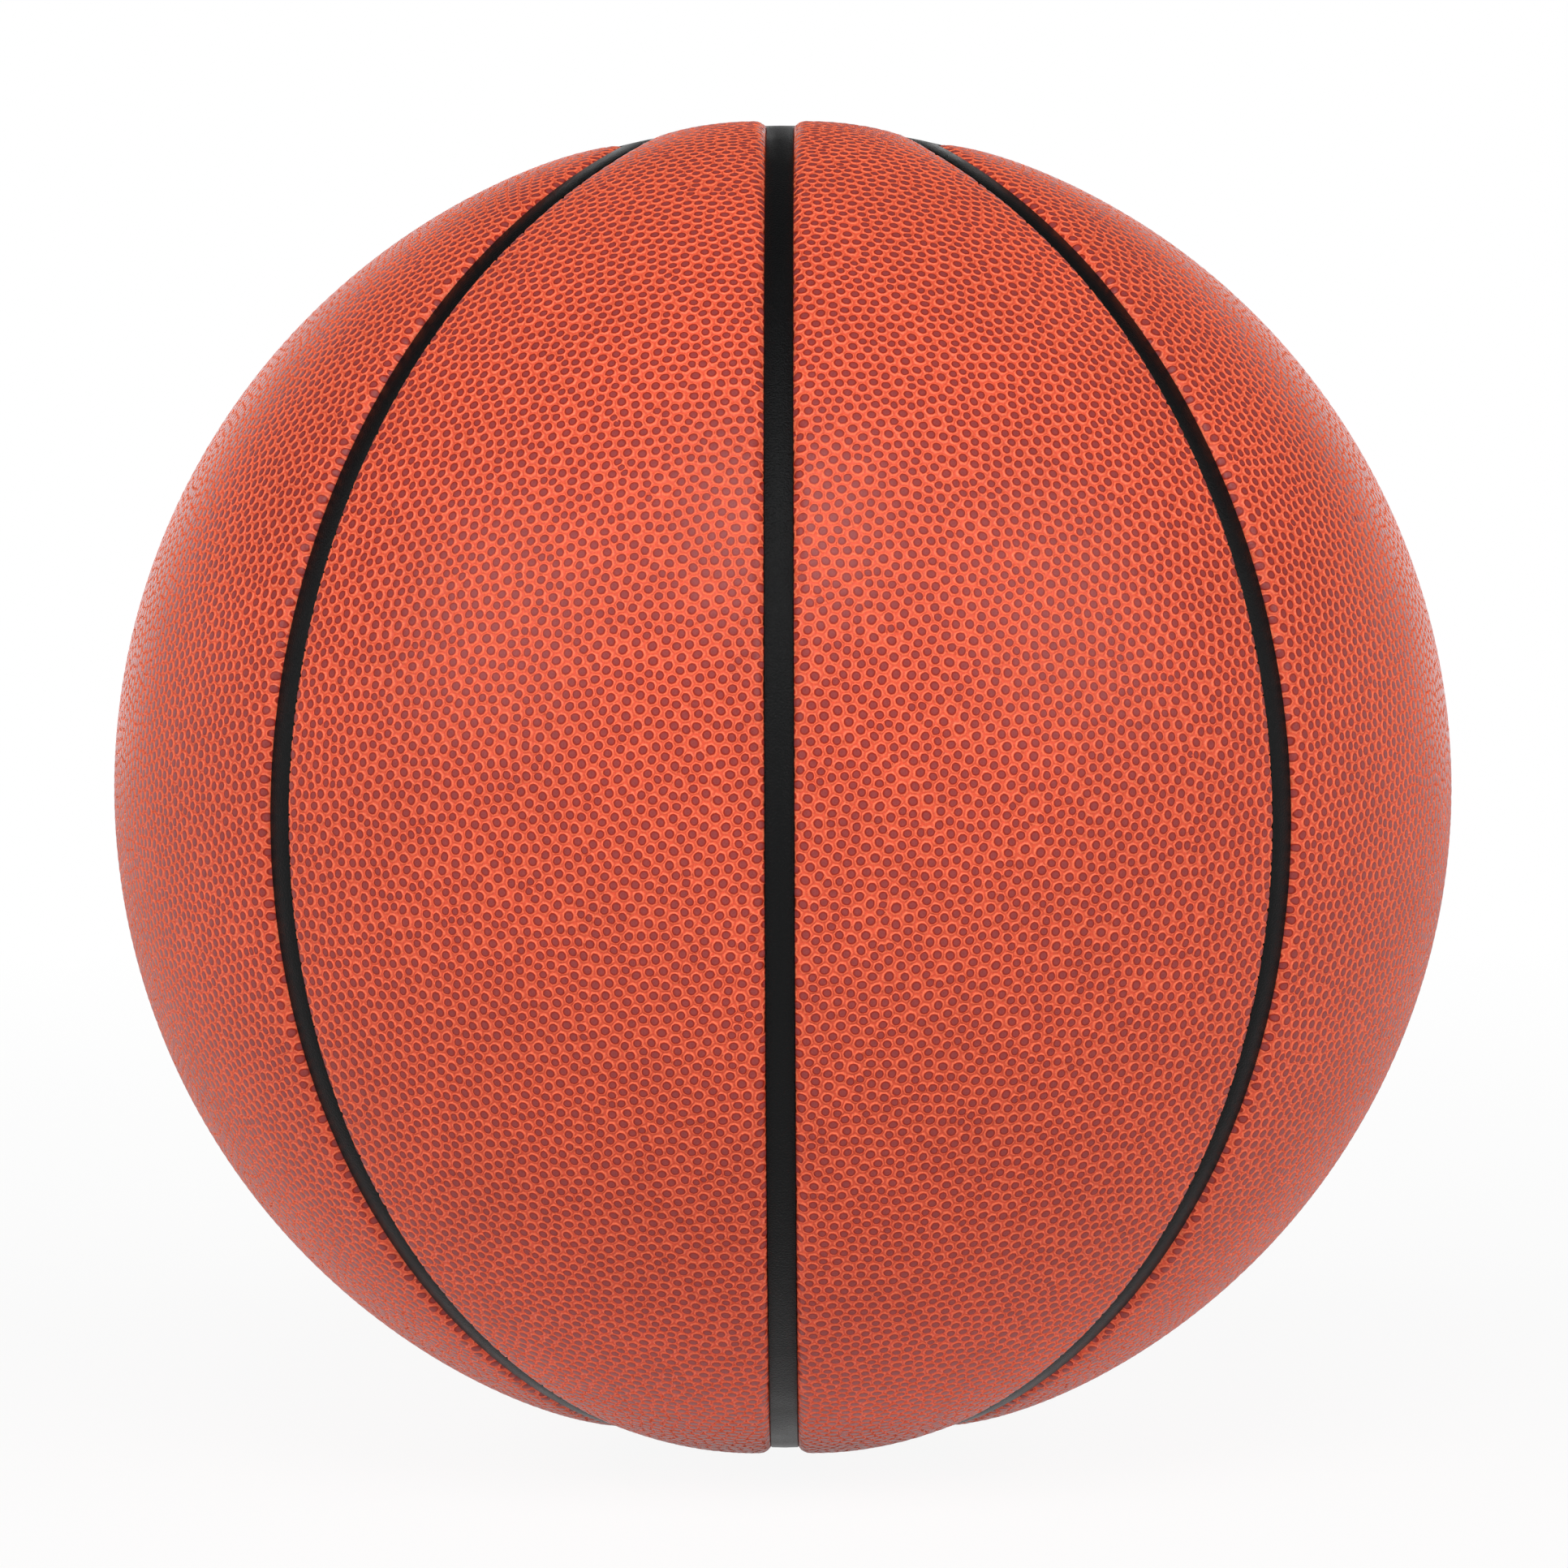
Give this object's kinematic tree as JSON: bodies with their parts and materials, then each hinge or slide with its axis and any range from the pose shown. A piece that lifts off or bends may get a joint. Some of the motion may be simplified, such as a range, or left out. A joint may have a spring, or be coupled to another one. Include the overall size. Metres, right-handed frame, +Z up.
{
  "type": "basketball",
  "caption": "Inflated indoor basketball: pebbled orange cover panels let in between black rubber channel strips, over foam, rubber carcass, wound thread, bladder and needle valve.",
  "frame": {"origin": "centre of the ball", "axes": "+Z up through the crossing of the two great-circle seams, -Y towards the viewer of the picture, +X to the viewer's right through the middle of an oval"},
  "size_m": [0.2408, 0.2408, 0.2406],
  "materials": {
    "cover_leather": "pebbled satin",
    "backing_foam": "matte",
    "channel_rubber": "satin",
    "nylon_thread": "matte",
    "butyl_rubber": "satin",
    "valve_rubber": "satin",
    "patch_fabric": "matte"
  },
  "bodies": {
    "root": {"band_cover_front_right": "cover_leather", "band_cover_back_right": "cover_leather", "band_cover_front_left": "cover_leather", "band_cover_back_left": "cover_leather", "oval_cover_front_right": "cover_leather", "oval_cover_back_right": "cover_leather", "oval_cover_front_left": "cover_leather", "oval_cover_back_left": "cover_leather", "band_foam_front_right": "backing_foam", "band_foam_back_right": "backing_foam", "band_foam_front_left": "backing_foam", "band_foam_back_left": "backing_foam", "oval_foam_front_right": "backing_foam", "oval_foam_back_right": "backing_foam", "oval_foam_front_left": "backing_foam", "oval_foam_back_left": "backing_foam", "carcass": "channel_rubber", "thread_winding": "nylon_thread", "bladder": "butyl_rubber", "valve_housing": "valve_rubber", "valve_plug": "valve_rubber", "valve_patch": "patch_fabric"}
  },
  "joints": []
}
